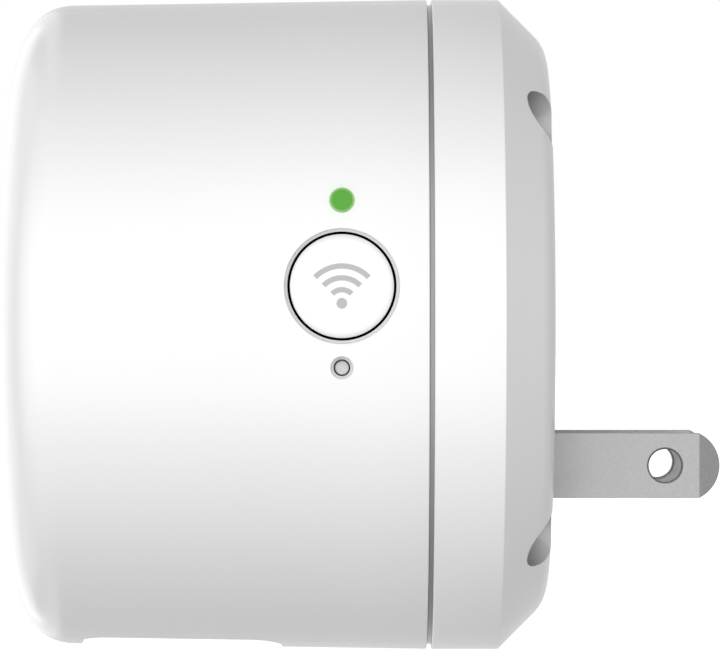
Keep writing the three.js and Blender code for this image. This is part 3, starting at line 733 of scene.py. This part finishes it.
def build_rear_cover():
    cover = cover_body()
    cutters = []
    for centre in COVER_SCREWS:
        place = (centre.y, centre.z)
        cover = boolean(cover, screw_post(place), operation="UNION")
        bore = [(2, 0), (2, BORE), (-10.5, BORE), (-10.5, 1.5), (-14, 1.5), (-14, 0)]
        cutters.append(lathe("bore", bore, 96, place))
    for side in ("left", "right"):
        centre, _ = span(f"blade_{side}")
        cutters.append(prism("slot", rounded_rect(centre.y, centre.z, 1.6, 6.45, 0.2, 3), -4, 2, "X"))
    label, _ = span("rating_label")
    cutters.append(prism("label", rounded_rect(label.y, label.z, 28, 15, 1.5, 8), -0.25, 2, "X"))
    cutters.append(y_cylinder("notch", PAIR, 7.1, -31, -27, 48))
    boolean(cover, *cutters)
    return true_normals(cover)


rear_cover = build_rear_cover()
finish_piece(rear_cover, "housing", "white_plastic", cover_paint, "rear_cover")


# ---------- controls ----------
def capped(name, centre, rings, segments=96):
    obj = skin_patch(name, centre, rings, segments)
    for face in obj.data.polygons:
        face.flip()
    return smooth(obj, 60)


pair_rings = soft_cap(PAIR_CAP, 0.6, 0.34, 0.05, 8) + [
    (PAIR_CAP, 1.2), (PAIR_CAP, None, FLANGE_OUTER), (5.6, None, FLANGE_OUTER), (5.6, None, FLANGE_INNER),
    (3.6, None, FLANGE_INNER), (3.6, None, -29.5), (1.6, None, -29.5),
    (1.6, None, STEM_END), (AXIS, None, STEM_END),
]
pair_button = capped("pair_button_cap", PAIR, pair_rings)
finish_piece(pair_button, "pair_key", "white_plastic", button_paint, "pair_button")

lens_rings = soft_cap(LED_LENS, 0.3, 0.06, 0.0, 4, 4) + [
    (LED_LENS, None, -26.3), (1.9, None, -26.25), (1.9, None, -25.4), (LED_LENS, None, -25.4),
    (LED_LENS, None, -24.9), (AXIS, None, -24.9),
]
lens = capped("light_pipe_lens", LED, lens_rings, 48)
finish_piece(lens, "housing", "green_lens", PAINTS["green_lens"], "light_pipe")

pin_rings = [
    (0.0001, None, -31.15), (0.3, None, -31.15), (0.52, None, -31.15), (0.6, None, -31.12),
    (0.645, None, -31.06), (RESET_PIN, None, -30.95), (RESET_PIN, None, FLANGE_OUTER),
    (1.5, None, FLANGE_OUTER), (1.5, None, FLANGE_INNER), (0.9, None, FLANGE_INNER),
    (0.9, None, STEM_END), (AXIS, None, STEM_END),
]
pin = capped("reset_pin", RESET, pin_rings, 48)
finish_piece(pin, "reset_key", "grey_pin_plastic", PAINTS["grey_pin_plastic"], "reset_button")


# ---------- plug ----------
def build_blade(node):
    """A flat blade with a rounded, coined tip, a chamfered hole, a shoulder and a tail."""
    centre, _ = span(node)
    low, high = (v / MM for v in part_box(node))
    z, half, tip = centre.z, 3.175, high.x
    thick, tip_thick, tip_radius = 0.75, 0.4, 3.5
    start = tip - TIP_LENGTH
    turn = math.degrees(math.asin((half - 0.1) / tip_radius))
    tail = [(low.x, 1.9), (-3.95, 1.9), (-3.95, 4.4), (-2.25, 4.4), (-2.25, half), (start, half)]
    outline = [(x, z - v) for x, v in tail]
    outline += arc(tip - tip_radius, z, tip_radius, -turn, turn, 24)
    outline += [(x, z + v) for x, v in reversed(tail)]
    blade = prism(node + "_metal", outline, centre.y - thick, centre.y + thick, "Y")
    cutters = []
    slope = (thick - tip_thick) / TIP_LENGTH
    for way in (-1, 1):
        wedge = [(start, thick), (tip + 1, thick - slope * 3), (tip + 1, thick + 1), (start, thick + 1)]
        wedge = [(x, centre.y + way * y) for x, y in wedge]
        cutters.append(prism("wedge", wedge, z - 5, z + 5, "Z"))
    drill = [(-0.76, 0), (-0.76, 1.79), (-0.59, 1.6), (0.59, 1.6), (0.76, 1.79), (0.76, 0)]
    bit = lathe("drill", drill, 64)
    hole = Matrix.Translation(Vector((tip - 5.35, centre.y, z)) * MM)
    bit.data.transform(hole @ Matrix.Rotation(math.pi / 2, 4, "Z"))
    boolean(blade, *cutters, bit)
    return smooth(blade, 15)


for blade_node in ("blade_left", "blade_right"):
    blade = build_blade(blade_node)
    finish_piece(blade, "housing", "nickel", PAINTS["nickel"], blade_node)


# ---------- everything else keeps its CAD shape, with welded faces and softened edges ----------
def fine_copy(node, obj):
    mesh = obj.data.copy()
    bm = bmesh.new()
    bm.from_mesh(mesh)
    bmesh.ops.remove_doubles(bm, verts=bm.verts, dist=2e-6)
    bmesh.ops.dissolve_limit(bm, angle_limit=math.radians(0.5), verts=bm.verts, edges=bm.edges)
    bm.to_mesh(mesh)
    bm.free()
    made = new_object(node + "_part", mesh)
    smooth(made, 30)
    return bevel(made, 0.06, 2, 35)


done = {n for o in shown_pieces() for n in o.get("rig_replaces", [])}
for node, obj in frame["nodes"].items():
    if node in done:
        continue
    body = obj["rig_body"]
    slot = SLOT_OF[node]
    finish_piece(fine_copy(node, obj), body, slot, PAINTS[slot], node)


# ---------- stage ----------
def build_world():
    """A pale room round the object, which the camera sees as plain white.

    The wall behind is bright and the floor is dim. A broad soft light stands in front and a smaller one on
    the left. Strips of light stand behind and to the left, where the front corner mirrors them.
    """
    world = bpy.data.worlds.new("studio")
    world.use_nodes = True
    tree = world.node_tree
    tree.nodes.clear()
    add, link = tree.nodes.new, tree.links.new
    way = add("ShaderNodeTexCoord").outputs["Generated"]

    def toward(*axis):
        node = add("ShaderNodeVectorMath")
        node.operation = "DOT_PRODUCT"
        node.inputs[1].default_value = axis
        link(way, node.inputs[0])
        return node.outputs["Value"]

    def ramp(value, low, high, out_low, out_high, kind="SMOOTHSTEP"):
        node = add("ShaderNodeMapRange")
        node.interpolation_type = kind
        link(value, node.inputs["Value"])
        names = ("From Min", "From Max", "To Min", "To Max")
        for key, number in zip(names, (low, high, out_low, out_high)):
            node.inputs[key].default_value = number
        return node.outputs["Result"]

    def combine(operation, first, second):
        node = add("ShaderNodeMath")
        node.operation = operation
        link(first, node.inputs[0])
        link(second, node.inputs[1])
        return node.outputs[0]

    x, y, z = toward(1, 0, 0), toward(0, 1, 0), toward(0, 0, 1)
    height = combine("MAXIMUM", z, toward(0, 0, -1))
    behind = ramp(y, 0.1, 0.3, 0, 1)

    def strip(low, high, top, strength):
        """An upright strip of light behind the object, from X low to X high, up to top above and below."""
        soft = 0.04
        start, end = ramp(x, low - soft, low + soft, 0, 1), ramp(x, high - soft, high + soft, 1, 0)
        across = combine("MULTIPLY", start, end)
        upright = ramp(height, top - 0.1, top + 0.1, strength, 0)
        return combine("MULTIPLY", combine("MULTIPLY", across, upright), behind)

    front, left = toward(0.080, -0.981, 0.176), toward(-0.799, -0.599, 0.050)
    lights = [
        ramp(y, 0, 1, 0, 0.77, "LINEAR"),
        ramp(z, 0, -1, 0, 0.16, "LINEAR"),
        ramp(front, 0.0, 0.9, 0, 0.62),
        ramp(front, 0.53, 0.93, 0, 1.0),
        ramp(left, 0.7, 1.0, 0, 1.13),
        strip(-0.90, -0.55, 2.0, 0.42),
        strip(-0.35, -0.15, 2.0, 0.38),
        strip(-0.98, -0.55, 0.35, 0.51),
        strip(-0.55, -0.30, 0.50, 0.66),
    ]
    total = lights[0]
    for light in lights[1:]:
        total = combine("ADD", total, light)
    room, white = add("ShaderNodeBackground"), add("ShaderNodeBackground")
    link(total, room.inputs["Strength"])
    white.inputs["Color"].default_value = (1, 1, 1, 1)
    room.inputs["Color"].default_value = (1, 1, 1, 1)
    seen, mix, out = add("ShaderNodeLightPath"), add("ShaderNodeMixShader"), add("ShaderNodeOutputWorld")
    link(seen.outputs["Is Camera Ray"], mix.inputs[0])
    link(room.outputs[0], mix.inputs[1])
    link(white.outputs[0], mix.inputs[2])
    link(mix.outputs[0], out.inputs["Surface"])
    bpy.context.scene.world = world


def build_floor():
    """A plain floor that the camera sees from above, and that neither lights nor shades the object."""
    size = 4.0
    z = cad_bounds[0].z - 0.5 * MM
    corners = ((-size, -size, z), (size, -size, z), (size, size, z), (-size, size, z))
    mesh = bpy.data.meshes.new("floor")
    mesh.from_pydata(corners, [], [(0, 1, 2, 3)])
    floor = new_object("floor", mesh)
    paint = Paint("pale floor", 0.8)
    paint.set(Base_Color=paint.mix(paint.noise(8, 2), (0.40, 0.40, 0.40), (0.42, 0.42, 0.42)))
    paint.set(Specular_IOR_Level=0.0, Emission_Color=(1, 1, 1, 1), Emission_Strength=0.95)
    see_through = paint.add("ShaderNodeMixShader")
    surface = next(n for n in paint.tree.nodes if n.type == "OUTPUT_MATERIAL").inputs["Surface"]
    paint.put(see_through.inputs[0], paint.add("ShaderNodeNewGeometry").outputs["Backfacing"])
    paint.put(see_through.inputs[1], surface.links[0].from_socket)
    paint.put(see_through.inputs[2], paint.add("ShaderNodeBsdfTransparent").outputs[0])
    paint.put(surface, see_through.outputs[0])
    floor.data.materials.append(paint.material)
    floor.visible_diffuse = floor.visible_glossy = floor.visible_transmission = floor.visible_shadow = False


build_world()
build_floor()

# ---------- camera ----------
camera = bpy.data.cameras.new("camera")
camera.sensor_width, camera.lens = 36.0, 217.9
camera.shift_x = -15.45 / 720
camera.clip_start, camera.clip_end = 0.05, 50
view_point = bpy.data.objects.new("camera", camera)
bpy.context.scene.collection.objects.link(view_point)
view_point.location = (-0.0169, -0.43436, 0.0)
view_point.rotation_euler = (math.pi / 2, 0, 0)
bpy.context.scene.camera = view_point
bpy.context.scene.view_settings.view_transform = "Standard"
